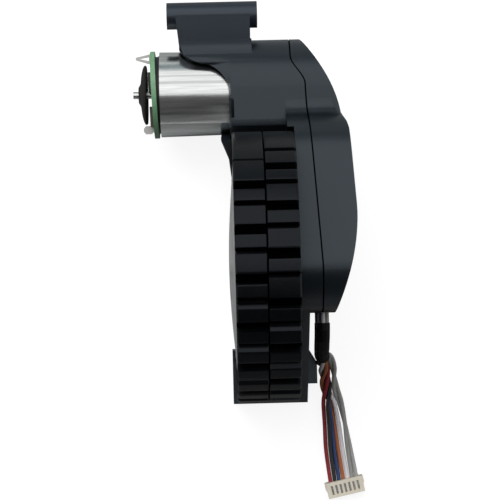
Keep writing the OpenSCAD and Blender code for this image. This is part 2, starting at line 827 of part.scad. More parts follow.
// The slit has a steep wall on its narrow block and a sloped one up to the wide block
module tread_2d(shift) {
    deep = wheel_r - groove_depth;
    slit = wheel_r - slit_depth;
    steps = [for (t = [0:0.25:1]) [t * wide_a, wheel_r], [wide_a, deep],
             [wide_a + deep_a / 2, deep], [wide_a + deep_a, deep],
             for (t = [0:0.25:1]) [wide_a + deep_a + t * narrow_a, wheel_r],
             [wide_a + deep_a + narrow_a, slit]];
    polygon([for (i = [tread_n - 1:-1:0]) for (k = [len(steps) - 1:-1:0])
        polar(steps[k][1], 90 - (shift + i * period - wide_a / 2 + steps[k][0]))]);
}

module tyre() color("black") {
    split = tyre_y + tyre_w * row_split;
    difference() {
        union() {
            along_y(tyre_y, split - row_gap / 2) translate(wheel_pt) tread_2d(-tread_lead);
            along_y(split + row_gap / 2, tyre_y + tyre_w) translate(wheel_pt)
                tread_2d(period / 2 - tread_lead);
            rod_y(wheel_pt, wheel_r - groove_depth - 0.4, split - 1, split + 1);
        }
        rod_y(wheel_pt, rim_r + seat_gap, 0, 40);
    }
}

cap_top_y = 3.05;

module hub_cap() color("gray") {
    high = hub_web_y[0] - cap_top_y - 0.5;
    turned_y(wheel_pt) polygon([[0, cap_top_y], for (t = [0.1:0.1:1]) [cap_r * t,
        cap_top_y + high * (1 - cos(90 * t))], [cap_r, hub_web_y[0]], [3.2, hub_web_y[0]],
        [3.2, 3.9], [0, 3.9]]);
}

module wheel_screw() color("silver") {
    y = hub_boss_y[0];
    rod_y(wheel_pt, 1.25, y - 0.01, y + 5.4);
    difference() {
        rod_y(wheel_pt, 2.8, y - 1.5, y);
        for (a = [0, 90]) translate([wheel_pt[0], y - 1.5, wheel_pt[1]]) rotate([0, a, 0])
            cube([3.2, 1.6, 0.6], center = true);
    }
}

// Tube swept along points, with flat ends
function unit(v) = v / norm(v);
function heading(ps, i) = unit(ps[min(i + 1, len(ps) - 1)] - ps[max(i - 1, 0)]);
module swept_tube(ps, r, sides) {
    rings = [for (i = [0:len(ps) - 1])
        let (t = heading(ps, i), l = unit(cross([0, 0, 1], t)), u = cross(t, l))
        for (k = [0:sides - 1]) ps[i] + r * (cos(360 * k / sides) * l + sin(360 * k / sides) * u)];
    last = (len(ps) - 1) * sides;
    polyhedron(rings, concat([[for (k = [0:sides - 1]) k]], [[for (k = [sides - 1:-1:0]) last + k]],
        [for (i = [0:len(ps) - 2]) for (k = [0:sides - 1]) for (f = [0, 1])
            let (a = i * sides + k, b = i * sides + (k + 1) % sides)
            f == 0 ? [a, a + sides, b] : [b, a + sides, b + sides]]));
}

// Wire k at route point i: five wires turn round each other and two are twisted as a pair,
// and all of them spread into the row of the plug
pack_r = 1.1;
pair_r = 0.55;
last_point = len(wire_route) - 1;
start_dir = [[-1, 0], [0, 1], [0, 0], [0, -1], [1, 0]];
function spread(i) = ramp((i - 5) / 5);
function middle(i) = i == 0 ? [-0.55, 1.25] : [-0.7, 1.9] + spread(i) * ([-1.25, 3.125] - [-0.7, 1.9]);
function spin(v, a) = [v[0] * cos(a) - v[1] * sin(a), v[0] * sin(a) + v[1] * cos(a)];
function in_pack(k, i) = let (w = spread(i)) [middle(i)[0], 0] + spin(
    [(1 - w) * pack_r * start_dir[k][0] + w * (k - 2) * plug_pitch, (1 - w * w) * pack_r * start_dir[k][1]],
    45 * (min(i, 7) - 7));
function in_pair(k, i) = [middle(i)[1], 0]
    + spin([(2 * k - 11) * (pair_r + spread(i) * (plug_pitch / 2 - pair_r)), 0], 45 * (i - last_point));
function across(i) = i == last_point ? [-sin(plug_turn), cos(plug_turn), 0]
    : unit(cross([0, 0, 1], heading(wire_route, i)));
function above(i) = i == last_point ? [0, 0, 1] : cross(heading(wire_route, i), across(i));
function wire_points(k) = [for (i = [0:last_point]) let (o = k < 5 ? in_pack(k, i) : in_pair(k, i))
    wire_route[i] + across(i) * o[0] + above(i) * o[1]];

module wire(k) {
    swept_tube(wire_points(k), wire_d / 2, 8);
}

module harness_sleeve() color("black") {
    swept_tube(sleeve_route, sleeve_d / 2, 12);
}

// Short ends of the wires between the case and the sleeve
module wire_tails() color("royalblue") {
    for (k = [0:6]) let (o = k < 5 ? in_pack(k, 0) : in_pair(k, 0))
        translate(sleeve_route[0] + [-8, o[0], o[1]]) rotate([0, 90, 0]) cylinder(r = wire_d / 2, h = 8);
}

module red_wire() color("firebrick") wire(0);
module black_wire() color("black") wire(1);
module blue_wire() color("royalblue") wire(2);
module orange_wire() color("peru") wire(3);
module white_wire() color("whitesmoke") wire(4);
module grey_wire() color("gray") wire(5);
module pale_grey_wire() color("silver") wire(6);

plug_l = 4.5;
plug_h = 3.4;
plug_w = 6 * plug_pitch + 3;

module at_plug() {
    translate([wire_route[last_point][0], wire_route[last_point][1], floor_z]) rotate([0, 0, plug_turn])
        children();
}

module plug_housing() color("oldlace") {
    at_plug() difference() {
        union() {
            translate([0, -plug_w / 2, 0]) cube([plug_l, plug_w, plug_h]);
            for (s = [-1, 1]) translate([0, s * plug_w / 2 - 0.3, 0.4]) cube([2.2, 0.6, plug_h - 0.8]);
        }
        for (k = [-3:3]) {
            translate([1, k * plug_pitch - 0.3, plug_h - 1]) cube([2.6, 0.6, 2]);
            translate([plug_l - 1.4, k * plug_pitch - 0.35, 1]) cube([2, 0.7, 0.7]);
        }
    }
}

module plug_contacts() color("silver") {
    at_plug() for (k = [-3:3]) translate([1.2, k * plug_pitch - 0.2, plug_h - 1]) cube([2.2, 0.4, 0.45]);
}

arm_case();
wheel_guard();
outer_cover();
cover_screws();
motor_can();
motor_end_cap();
motor_front_boss();
motor_screws();
motor_shaft();
motor_pinion();
motor_terminals();
encoder_board();
board_spacer();
hall_sensors();
encoder_disc();
motor_leads();
gear_pins();
first_gear();
second_gear();
third_gear();
output_gear();
wheel_axle();
axle_bearings();
axle_clip();
wheel_hub();
tyre();
hub_cap();
wheel_screw();
wire_tails();
harness_sleeve();
red_wire();
black_wire();
blue_wire();
orange_wire();
white_wire();
grey_wire();
pale_grey_wire();
plug_housing();
plug_contacts();
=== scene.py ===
import math
import bmesh
import bpy
import numpy as np
from mathutils import Matrix, Vector


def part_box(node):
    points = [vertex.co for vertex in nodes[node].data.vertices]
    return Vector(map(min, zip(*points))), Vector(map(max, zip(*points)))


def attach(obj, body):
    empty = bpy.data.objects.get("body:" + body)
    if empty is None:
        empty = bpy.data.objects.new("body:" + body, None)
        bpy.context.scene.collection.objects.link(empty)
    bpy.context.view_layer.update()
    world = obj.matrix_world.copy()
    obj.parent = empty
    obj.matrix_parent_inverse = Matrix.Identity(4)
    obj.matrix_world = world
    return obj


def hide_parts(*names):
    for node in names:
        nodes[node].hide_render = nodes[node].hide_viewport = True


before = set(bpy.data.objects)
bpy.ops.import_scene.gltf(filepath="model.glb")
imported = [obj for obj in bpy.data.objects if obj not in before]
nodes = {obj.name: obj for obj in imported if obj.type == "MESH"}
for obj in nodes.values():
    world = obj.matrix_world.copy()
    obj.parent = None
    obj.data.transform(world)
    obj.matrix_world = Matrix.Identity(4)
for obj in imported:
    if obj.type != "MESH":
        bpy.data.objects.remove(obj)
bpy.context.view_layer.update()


def placed(name, data):
    """Puts a mesh, curve, light or camera into the scene as an object at the origin."""
    thing = bpy.data.objects.new(name, data)
    bpy.context.scene.collection.objects.link(thing)
    return thing


# Camera. The photograph looks almost straight down on the module as it lies on its guard,
# from a little over half a metre, with the hinge at the top of the picture.
sensor_width = 36
focal_pixels = 1900
picture_pixels = 500
picture_turn = 0.0244
camera_at = Vector((0.0653, 0.0021, 0.527))
looks_at = Vector((0.0653, 0.0090, 0.0))
backward = (camera_at - looks_at).normalized()
right = Vector((picture_turn, 1, 0))
right = (right - right.dot(backward) * backward).normalized()
up = backward.cross(right)
camera = placed("camera", bpy.data.cameras.new("camera"))
camera.data.sensor_width = sensor_width
camera.data.lens = sensor_width * focal_pixels / picture_pixels
camera.matrix_world = Matrix.Translation(camera_at) @ Matrix((right, up, backward)).transposed().to_4x4()
bpy.context.scene.camera = camera
bpy.context.scene.view_settings.view_transform = "Standard"

# Light. A wide soft lamp hangs beyond the hinge and a little to the left of the picture. Gloss
# comes from the room round the module, so the lamp itself leaves no hot spot on the plastic.
lamp_size = 2.0
lamp_watts = 52.0
lamp_at = Vector((-1.1, -0.3, 1.3))
lamp_aim = Vector((0.05, 0.0, 0.0))
lamp = placed("soft_lamp", bpy.data.lights.new("soft_lamp", "AREA"))
lamp.data.shape = "SQUARE"
lamp.data.size = lamp_size
lamp.data.energy = lamp_watts
lamp.location = lamp_at
lamp.rotation_euler = (lamp_aim - lamp_at).to_track_quat("-Z", "Y").to_euler()
lamp.visible_glossy = False


# Sky. The photograph has a plain white ground, so rays from the camera, mirror rays and
# rays through clear parts meet white, and the rest get a dimmer sky.
def fill(tree, place, value):
    """Links a Value to a socket, or sets the socket to a number, a vector or a colour."""
    if isinstance(value, Value):
        tree.links.new(value.socket, place)
    elif place.type == "RGBA" and len(value) == 3:
        place.default_value = (*value, 1)
    else:
        place.default_value = value


def add_node(tree, kind, settings=(), places=(), output=0, **sockets):
    """Adds a node of one kind: its settings come first, then its sockets are filled by number in
    places or by name, and the Value of one output comes back."""
    node = tree.nodes.new("ShaderNode" + kind)
    for key, value in dict(settings).items():
        setattr(node, key, value)
    for key, value in dict(places).items():
        fill(tree, node.inputs[key], value)
    for key, value in sockets.items():
        fill(tree, node.inputs[key.replace("_", " ")], value)
    return Value(tree, node.outputs[output])


class Value:
    """A socket of a shader tree; arithmetic on it adds Math nodes."""

    def __init__(self, tree, socket):
        self.tree = tree
        self.socket = socket

    def maths(self, operation, *terms):
        return add_node(self.tree, "Math", {"operation": operation}, dict(enumerate(terms)))

    def __add__(self, other):
        return self.maths("ADD", self, other)

    def __radd__(self, other):
        return self.maths("ADD", other, self)

    def __sub__(self, other):
        return self.maths("SUBTRACT", self, other)

    def __rsub__(self, other):
        return self.maths("SUBTRACT", other, self)

    def __mul__(self, other):
        return self.maths("MULTIPLY", self, other)

    def __rmul__(self, other):
        return self.maths("MULTIPLY", other, self)

    def __pow__(self, other):
        return self.maths("POWER", self, other)

    def __abs__(self):
        return self.maths("ABSOLUTE", self)

    def most(self, other):
        """The larger of two values."""
        return self.maths("MAXIMUM", self, other)

    def step(self, low, high):
        """0 below low, 1 above high and an even slope between them."""
        return add_node(self.tree, "MapRange", output="Result", Value=self, From_Min=low, From_Max=high)


dim_sky = 0.45
world = bpy.data.worlds.new("room")
bpy.context.scene.world = world
world.use_nodes = True
sky = world.node_tree
camera_ray = add_node(sky, "LightPath", output="Is Camera Ray")
mirror_ray = add_node(sky, "LightPath", output="Is Glossy Ray")
clear_ray = add_node(sky, "LightPath", output="Is Transmission Ray")
seen = camera_ray.most(mirror_ray).most(clear_ray)
background = sky.nodes["Background"]
fill(sky, background.inputs["Color"], (1, 1, 1))
fill(sky, background.inputs["Strength"], dim_sky + (1 - dim_sky) * seen)


# Floor. A wide sheet of white paper that the module lies on. The camera sees it white, and it
# throws little light back, so that the steel and the case are as dark below as in the photograph.
class Finish:
    """A procedural material with one Principled shader."""

    def __init__(self, name, **constants):
        self.material = bpy.data.materials.new(name)
        self.material.use_nodes = True
        self.tree = self.material.node_tree
        self.principled = self.tree.nodes["Principled BSDF"]
        self.shader = Value(self.tree, self.principled.outputs[0])
        self.set(**constants)
        self.place = self.node("TexCoord", output="Object")

    def set(self, **sockets):
        """Fills sockets of the Principled shader by name, with numbers, colours or Values."""
        for key, value in sockets.items():
            fill(self.tree, self.principled.inputs[key.replace("_", " ")], value)

    def node(self, kind, **sockets):
        """Adds a node to the material and gives its first output, or the one named output."""
        return add_node(self.tree, kind, **sockets)

    def blend(self, share, first, second):
        """Colour that goes from first to second with share."""
        return add_node(self.tree, "Mix", {"data_type": "RGBA"}, {0: share, 6: first, 7: second}, 2)

    def axis(self, letter):
        """The object's own coordinate along one axis, in metres."""
        return self.node("SeparateXYZ", output=letter, Vector=self.place)

    def noise(self, size, detail=2.0, stretch=(1, 1, 1)):
        """Smooth noise from 0 to 1 with grains of the size given in metres."""
        place = self.node("Mapping", Vector=self.place, Scale=stretch)
        return self.node("TexNoise", Vector=place, Scale=1 / size, Detail=detail)

    def bump(self, height, depth):
        """Relief of the height map, depth in metres between its 0 and 1."""
        self.set(Normal=self.node("Bump", Height=height, Distance=depth, Strength=1.0))

    def between(self, share, first, second):
        """Shows the first shader where share is 0 and the second where it is 1."""
        mixed = add_node(self.tree, "MixShader", places={0: share, 1: first, 2: second})
        fill(self.tree, self.tree.nodes["Material Output"].inputs["Surface"], mixed)


def stage_sheet(name, corners, faces, finish):
    """A sheet of the stage, which is no part of the object."""
    mesh = bpy.data.meshes.new(name)
    mesh.from_pydata(corners, [], faces)
    mesh.materials.append(finish.material)
    sheet = placed(name, mesh)
    return sheet


floor_reach = 3
floor_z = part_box("arm_case")[0].z
fades_from, fades_to = 0.05, 0.12
by_hinge, beyond = (0.26, 0.275, 0.275), (0.15, 0.15, 0.15)
paper_white = (0.93, 0.93, 0.93)
glow_share, glow = 0.8, 1.1
paper = Finish("white_paper", Roughness=0.9)
seen = paper.node("LightPath", output="Is Camera Ray")
hinge_side = 1 - paper.axis("X").step(fades_from, fades_to)
paper.set(Base_Color=paper.blend(seen, paper.blend(hinge_side, beyond, by_hinge), paper_white))
paper.between(glow_share * seen, paper.shader, paper.node("Emission", Strength=glow))
floor_corners = [(-floor_reach, -floor_reach, floor_z), (floor_reach, -floor_reach, floor_z),
                 (floor_reach, floor_reach, floor_z), (-floor_reach, floor_reach, floor_z)]
stage_sheet("floor", floor_corners, [(0, 1, 2, 3)], paper)

# Room. Curved cloths stand round the module: a dim one low on the hinge side, a bright one from
# there to overhead, and darker ones down to the floor beyond the free end.
room_middle = 0.06
room_far = 1.9
room_wide = 4.4
room_steps = 8


def room_side(name, low, high, glow, grey, tint=(1, 1, 1)):
    """Part of a cylinder about the Y axis, between two leans from upright given in degrees."""
    lean = np.radians(np.linspace(low, high, room_steps + 1))
    arc = np.stack([room_middle + room_far * np.sin(lean), room_far * np.cos(lean)], 1)
    corners = [(x, y, z) for x, z in arc for y in (-room_wide / 2, room_wide / 2)]
    faces = [(2 * i, 2 * i + 2, 2 * i + 3, 2 * i + 1) for i in range(room_steps)]
    cloth = Finish(name + "_cloth", Base_Color=(grey, grey, grey), Roughness=1.0, Specular_IOR_Level=0.0,
                   Emission_Color=tint, Emission_Strength=glow)
    stage_sheet(name, corners, faces, cloth).visible_camera = False


room_side("dim_side", -88, -66, glow=0.24, grey=0.1, tint=(0.75, 0.95, 1.0))
room_side("bright_side", -66, 5, glow=1.05, grey=0.1)
room_side("dark_side", 5, 60, glow=0.05, grey=0.03)
room_side("far_side", 60, 88, glow=0.1, grey=0.03)

# Wires. Seven soft stranded wires with vinyl insulation leave the case through a sleeve, lie
# down to the floor and end in the plug. Five turn round each other, and two are a twisted pair.
wire_thick = 0.0012
wire_points = 40
plug_turn = math.radians(12)
plug_pitch = 0.00125
way_out = np.array([(79.2, 27.9, 12.6), (82.4, 27.9, 12.6)]) / 1000
sleeve_route = np.array([
    (85.5, 27.9, 12.6), (86.8, 27.9, 12.6), (89.4, 27.9, 11), (91.5, 27.9, 8.4),
    (93.2, 28, 5.2), (94.3, 28.1, 2.1), (95.3, 28.4, -0.7)]) / 1000
wire_route = np.array([
    (95.34, 28.41, -0.81), (96.4, 28.8, -3.6), (97.8, 29.4, -6.2), (99.4, 29.9, -8.6),
    (101.4, 30.1, -10.7), (103.8, 30.4, -12.5), (106.5, 30.8, -13.9), (109.4, 31.5, -14.9),
    (115.4, 32.4, -16.2), (122.6, 33.1, -16.6), (131.4, 34.3, -16.2)]) / 1000
wire_colours = {
    "red_wire": (0.2, 0.008, 0.014), "black_wire": (0.008, 0.008, 0.009), "blue_wire": (0.012, 0.03, 0.11),
    "orange_wire": (0.3, 0.09, 0.025), "white_wire": (0.6, 0.57, 0.6), "grey_wire": (0.24, 0.24, 0.23),
    "pale_grey_wire": (0.3, 0.3, 0.29)}

# How far aside of the route the middles of the five and of the pair lie: inside the sleeve, out
# of it, and how much further when the wires have fanned out to the plug
sleeve_middles = (-0.00055, 0.00125)
loose_middles = (-0.0007, 0.0019)
fan_shifts = (-0.00055, 0.001225)
# The five lie as a cross round one wire. They turn up to one point of the route, and the fan
# opens between two others
five_cross = ((-1, 0), (0, 1), (0, 0), (0, -1), (1, 0))
five_round = 0.0011
pair_round = 0.00055
degrees_per_point = 45
five_turn_to = 7
fan_from, fan_to = 5, 10


def ramp(t):
    """Smooth rise from 0 to 1."""
    t = np.clip(t, 0, 1)
    return t * t * (3 - 2 * t)


def frames_along(points, last_across=None):
    """Unit vectors across and above a route, at each of its points."""
    ahead = np.gradient(points, axis=0)
    ahead /= np.linalg.norm(ahead, axis=1)[:, None]
    across = np.cross((0, 0, 1), ahead)
    across[np.linalg.norm(across, axis=1) < 1e-9] = (0, 1, 0)
    across /= np.linalg.norm(across, axis=1)[:, None]
    if last_across is not None:
        across[-1] = last_across
        ahead[-1] = np.cross(last_across, (0, 0, 1))
    return across, np.cross(ahead, across)


def wire_offset(k, i):
    """Place of wire k in the bundle at route point i, as (across, above)."""
    spread = float(ramp((i - fan_from) / (fan_to - fan_from)))
    group = 0 if k < 5 else 1
    middle = sleeve_middles[group] if i == 0 else loose_middles[group] + fan_shifts[group] * spread
    if group == 0:
        x = (1 - spread) * five_round * five_cross[k][0] + spread * (k - 2) * plug_pitch
        y = (1 - spread ** 2) * five_round * five_cross[k][1]
        turn = math.radians(degrees_per_point * (min(i, five_turn_to) - five_turn_to))
    else:
        x = (2 * k - 11) * (pair_round + spread * (plug_pitch / 2 - pair_round))
        y = 0.0
        turn = math.radians(degrees_per_point * (i - fan_to))
    return (middle + x * math.cos(turn) - y * math.sin(turn), x * math.sin(turn) + y * math.cos(turn))


def wire_line(k):
    """Centre line of wire k, through the case's hole and the sleeve and along its route."""
    inside = np.concatenate([way_out, sleeve_route[:-1]])
    across, above = frames_along(inside)
    offset = wire_offset(k, 0)
    hidden = inside + across * offset[0] + above * offset[1]
    across, above = frames_along(wire_route, (-math.sin(plug_turn), math.cos(plug_turn), 0))
    offsets = np.array([wire_offset(k, i) for i in range(len(wire_route))])
    return np.concatenate([hidden, wire_route + across * offsets[:, :1] + above * offsets[:, 1:]])


def smooth_line(points, count, span_steps=12):
    """Catmull-Rom curve through the points, with count points at even steps along it."""
    before = np.concatenate([[2 * points[0] - points[1]], points, [2 * points[-1] - points[-2]]])
    t = np.linspace(0, 1, span_steps, endpoint=False)[:, None]
    parts = []
    for a, b, c, d in zip(before, before[1:], before[2:], before[3:]):
        parts.append(0.5 * (2 * b + (c - a) * t + (2 * a - 5 * b + 4 * c - d) * t ** 2
                            + (3 * b - a - 3 * c + d) * t ** 3))
    fine = np.concatenate([*parts, points[-1:]])
    along = np.concatenate([[0], np.cumsum(np.linalg.norm(np.diff(fine, axis=0), axis=1))])
    even = np.linspace(0, along[-1], count)
    return np.stack([np.interp(even, along, fine[:, k]) for k in range(3)], 1)


def wire_curve(name, line, thick):
    """A round curve of the given thickness through the points of a line."""
    curve = bpy.data.curves.new(name, "CURVE")
    curve.dimensions = "3D"
    curve.bevel_depth = thick / 2
    curve.bevel_resolution = 4
    curve.resolution_u = 4
    curve.use_fill_caps = True
    spline = curve.splines.new("POLY")
    spline.points.add(len(line) - 1)
    spline.points.foreach_set("co", np.concatenate([line, np.ones((len(line), 1))], 1).ravel())
    spline.use_smooth = True
    return placed(name, curve)


def vinyl(name, colour):
    """Soft vinyl: a little lighter where the bundle rubs, with a faint waviness."""
    finish = Finish(name, Specular_IOR_Level=0.45)
    rubbed = finish.noise(0.0022)
    pale = tuple(min(1.0, 1.25 * c + 0.012) for c in colour)
    finish.set(Base_Color=finish.blend(rubbed, colour, pale), Roughness=0.36 + 0.2 * rubbed)
    finish.bump(finish.noise(0.0007), 0.00003)
    return finish


for k, (name, colour) in enumerate(wire_colours.items()):
    line = smooth_line(wire_line(k), wire_points)
    wire = wire_curve("insulated_" + name, line, wire_thick)
    wire.data.materials.append(vinyl(name + "_vinyl", colour).material)
    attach(wire, "arm")
    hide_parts(*([name, "wire_tails"] if name == "blue_wire" else [name]))


# Sleeve. Black heat-shrink tube over the seven wires where they leave the case, drawn tight on
# them so that it creases at its bends.
def give(finish, *names):
    """Puts the finish on CAD nodes."""
    for name in names:
        for place in nodes[name].material_slots:
            place.material = finish.material


shrink = Finish("shrink_sleeve", Specular_IOR_Level=0.15)
# The crease noise gives both the relief and the colour: the colour is darker where the relief is low, a
# painted shade in the creases.
crease_relief_and_shade = shrink.noise(0.0015, 3.0)
shrink.set(Base_Color=shrink.blend(crease_relief_and_shade, (0.0006, 0.0006, 0.0007), (0.0015, 0.0015, 0.0017)),
           Roughness=0.45 + 0.2 * crease_relief_and_shade)
shrink.bump(crease_relief_and_shade, 0.00006)
give(shrink, "harness_sleeve")

# Plug. A cream nylon housing with seven crimped contacts, which latches into the robot's main
# board. The gears inside the case are moulded of much the same nylon.
nylon = Finish("plug_nylon", Roughness=0.4)
tint = nylon.noise(0.002)
nylon.set(Base_Color=nylon.blend(tint, (0.66, 0.61, 0.5), (0.74, 0.69, 0.58)))
give(nylon, "plug_housing", "first_gear", "second_gear", "third_gear", "output_gear")

# Case. Two shells of dark moulded nylon, the arm case with its hinge tube and guard and the
# outer cover. Their outer edges leave the mould slightly rounded, with a spark-eroded grain.
case_plastic = Finish("case_plastic", Specular_IOR_Level=0.75, Specular_Tint=(0.78, 0.9, 1.0))
along = case_plastic.axis("X")
grain = case_plastic.noise(0.00025, 3.0)
cloudy = case_plastic.noise(0.014, 3.0)
# Towards the hinge end the case's colour turns lighter and bluer: painted light on the web and pad.
painted_hinge_light = 1 - along.step(0.003, 0.013)
moulded = case_plastic.blend(cloudy, (0.0014, 0.0026, 0.004), (0.0028, 0.0044, 0.0065))
case_plastic.set(
    Base_Color=case_plastic.blend(painted_hinge_light, moulded, (0.008, 0.0098, 0.0155)),
    Roughness=0.25 + 0.08 * cloudy + 0.06 * grain)
case_plastic.bump(grain, 0.00002)
give(case_plastic, "arm_case", "wheel_guard", "outer_cover")

# Parting line: Y of the seam at the hinge end, after its knee and at the wheel's end, X of the
# knee and of the straight run, and half the gap between the shells
seam_low, seam_mid, seam_high = 0.021, 0.0248, 0.0274
seam_knee = (0.0125, 0.0205)
seam_run = (0.0215, 0.069883)
half_gap = 0.000125
rise = along.step(*seam_knee)
rise = rise * rise * (3 - 2 * rise)
seam_y = seam_low + (seam_mid - seam_low) * rise + (seam_high - seam_mid) * along.step(*seam_run)
# A narrow band along the parting gap, a little wider than the gap, is painted flat black: painted shade in
# the gap and on its rims.
off_seam = abs(case_plastic.axis("Y") - seam_y - half_gap)
case_plastic.between(off_seam.step(0.00017, 0.00024),
                     case_plastic.node("BsdfDiffuse", Color=(0.0006, 0.0008, 0.001)), case_plastic.shader)

# Motor socket: its axis and outer radius, its flat top with X of the flat's ends and the step
# in it, and the rim over the can, which thins from the wall's radius to its own
motor_x, motor_z = 0.0215, -0.003
socket_radius = 0.0146
socket_top = 0.0116
flat_ends = (0.0214, 0.0306)
flat_step = 0.00025
rim_radius = 0.0131
rim_ends = (0.0105, 0.034)
rim_side = 0.0045
thins_from, thins_over = 0.0118, 0.0035
slack = 5e-5
merged_within = 2e-6
flat_degrees = 0.7
edge_radius = 0.00018
edge_degrees = 34


def shaped_socket(points, has_rim):
    """Points of a shell with the small step in the socket's flat top levelled. Where the shell
    has the socket's rim, the points of its round wall over the can sink to a thinner circle,
    whose radius falls with a smooth ramp along X."""
    x, y, z = points.T
    on_flat = (x > flat_ends[0]) & (x < flat_ends[1]) & (np.abs(z - socket_top) < flat_step)
    z = np.where(on_flat, socket_top, z)
    on_wall = np.abs(np.hypot(x - motor_x, z - motor_z) - socket_radius) < slack
    on_rim = has_rim & on_wall & (y < rim_side) & (x > rim_ends[0]) & (x < rim_ends[1]) & (z > 0)
    radius = socket_radius - (socket_radius - rim_radius) * ramp((x - thins_from) / thins_over)
    thin_z = motor_z + np.sqrt(np.maximum(radius ** 2 - (x - motor_x) ** 2, 0))
    return np.stack([x, y, np.where(on_rim, np.minimum(z, thin_z), z)], 1)


def softened(name, node):
    """Copy of a CAD node with its triangles merged to faces, its socket shaped and its edges
    rounded by a narrow bevel. The arm case is first cut along the rim's side, so that only the
    rim moves."""
    mesh = nodes[node].data.copy()
    mesh.name = name
    solid = bmesh.new()
    solid.from_mesh(mesh)
    bmesh.ops.remove_doubles(solid, verts=solid.verts, dist=merged_within)
    if node == "arm_case":
        bmesh.ops.bisect_plane(solid, geom=[*solid.verts, *solid.edges, *solid.faces], dist=1e-6,
                               plane_co=(0, rim_side + 0.0002, 0), plane_no=(0, 1, 0))
    solid.to_mesh(mesh)
    points = np.empty(3 * len(mesh.vertices))
    mesh.vertices.foreach_get("co", points)
    mesh.vertices.foreach_set("co", shaped_socket(points.reshape(-1, 3), node == "arm_case").ravel())
    solid.clear()
    solid.from_mesh(mesh)
    bmesh.ops.dissolve_degenerate(solid, edges=solid.edges, dist=merged_within)
    bmesh.ops.dissolve_limit(solid, angle_limit=math.radians(flat_degrees), verts=solid.verts,
                             edges=solid.edges)
    solid.to_mesh(mesh)
    solid.free()
    mesh.shade_smooth()
    mesh.materials.clear()
    mesh.materials.append(case_plastic.material)
    piece = placed(name, mesh)
    rounding = piece.modifiers.new("rounding", "BEVEL")
    rounding.width = edge_radius
    rounding.segments = 2
    rounding.limit_method = "ANGLE"
    rounding.angle_limit = math.radians(edge_degrees)
    even = piece.modifiers.new("even_normals", "WEIGHTED_NORMAL")
    even.weight = 100
    even.keep_sharp = True
    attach(piece, "arm")
    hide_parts(node)


softened("case_shell", "arm_case")
softened("guard_shell", "wheel_guard")
softened("cover_shell", "outer_cover")


# Web top, pad and lip. The case's own moulding: a plate from the hinge tube to the motor socket,
# a raised pad where it ends, and the thin lip in which the socket's flat top meets the wheel.
def finish_closed(mesh, sharp_degrees):
    """Merges what meets, turns the faces outwards and keeps only the sharper edges sharp."""
    solid = bmesh.new()
    solid.from_mesh(mesh)
    bmesh.ops.remove_doubles(solid, verts=solid.verts, dist=1e-6)
    bmesh.ops.recalc_face_normals(solid, faces=solid.faces)
    solid.to_mesh(mesh)
    solid.free()
    mesh.shade_smooth()
    mesh.set_sharp_from_angle(angle=math.radians(sharp_degrees))


def carried(name, outline, low_y, high_y):
    """Closed bar: a round of X, Z points carried along Y between two ends, each of them a number
    or a function of X."""
    x, z = np.array(outline).T
    sides_y = [y(x) if callable(y) else np.full(x.shape, y) for y in (low_y, high_y)]
    ends = [np.stack([x, y, z], 1) for y in sides_y]
    n = len(x)
    i = np.arange(n)
    sides = np.stack([i, (i + 1) % n, (i + 1) % n + n, i + n], 1).tolist()
    mesh = bpy.data.meshes.new(name)
    mesh.from_pydata(np.concatenate(ends).tolist(), [], sides + [i[::-1].tolist(), (i + n).tolist()])
    finish_closed(mesh, sharp_degrees=30)
    mesh.materials.append(case_plastic.material)
    piece = placed(name, mesh)
    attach(piece, "arm")


def slanted(start_y, slope, start_x):
    """Side that keeps its Y up to start_x and then leans inwards with X."""
    return lambda x: start_y + slope * np.clip(x - start_x, 0, 1)


web_outline = [(0.0002, 0.00375), (0.0083, 0.00263), (0.0083, -0.001), (0.0016, -0.001)]
pad_top = [(0.0076, 0.0056), (0.0079, 0.006), (0.0095, 0.0067), (0.0113, 0.0075), (0.0122, 0.0081)]
lip_top = [(0.0293, socket_top - 0.00001), (0.0312, socket_top - 0.00006), (0.03165, socket_top - 0.0002),
           (0.0318, socket_top - 0.0006)]
carried("web_top", web_outline,
        low_y=slanted(start_y=-0.0101, slope=0.11, start_x=0.001), high_y=0.01045)
carried("web_pad", [*pad_top, (0.0122, 0.0), (0.0076, 0.0)],
        low_y=slanted(start_y=-0.0091, slope=2.4, start_x=0.0109), high_y=0.0107)
carried("well_lip", [*lip_top, (0.0314, 0.0098), (0.0293, 0.0098)], low_y=0.0046, high_y=0.0196)

# Valley. Where the gear chamber rises from the socket's flat top, the mould leaves a hollow
# fillet; it stops at the parting gap between the case and the cover.
gear_centre = np.array([0.04505, 0.01002])
gear_lobe = 0.0165
fillet = 0.005
fillet_z = socket_top + fillet
fillet_x = gear_centre[0] - math.sqrt((gear_lobe + fillet) ** 2 - (fillet_z - gear_centre[1]) ** 2)
sweep = np.linspace(0, math.atan2(gear_centre[0] - fillet_x, fillet_z - gear_centre[1]), 13)
hollow = np.stack([fillet_x + fillet * np.sin(sweep), fillet_z - fillet * np.cos(sweep) + 0.00001], 1)
buried = [(0.0300, 0.0130), (0.0292, 0.0113), (fillet_x, socket_top - 0.0004)]
parting_gap = 0.00024


def parting(x):
    """Y of the parting line beside the fillet."""
    return 0.02495 + 0.19 * (x - 0.0257)


carried("valley_inner", [*hollow, *buried],
        low_y=0.0195, high_y=lambda x: parting(x) - parting_gap / 2)
carried("valley_outer", [*hollow, *buried],
        low_y=lambda x: parting(x) + parting_gap / 2, high_y=lambda x: 0.0318 + 0.4 * (x - 0.0246))
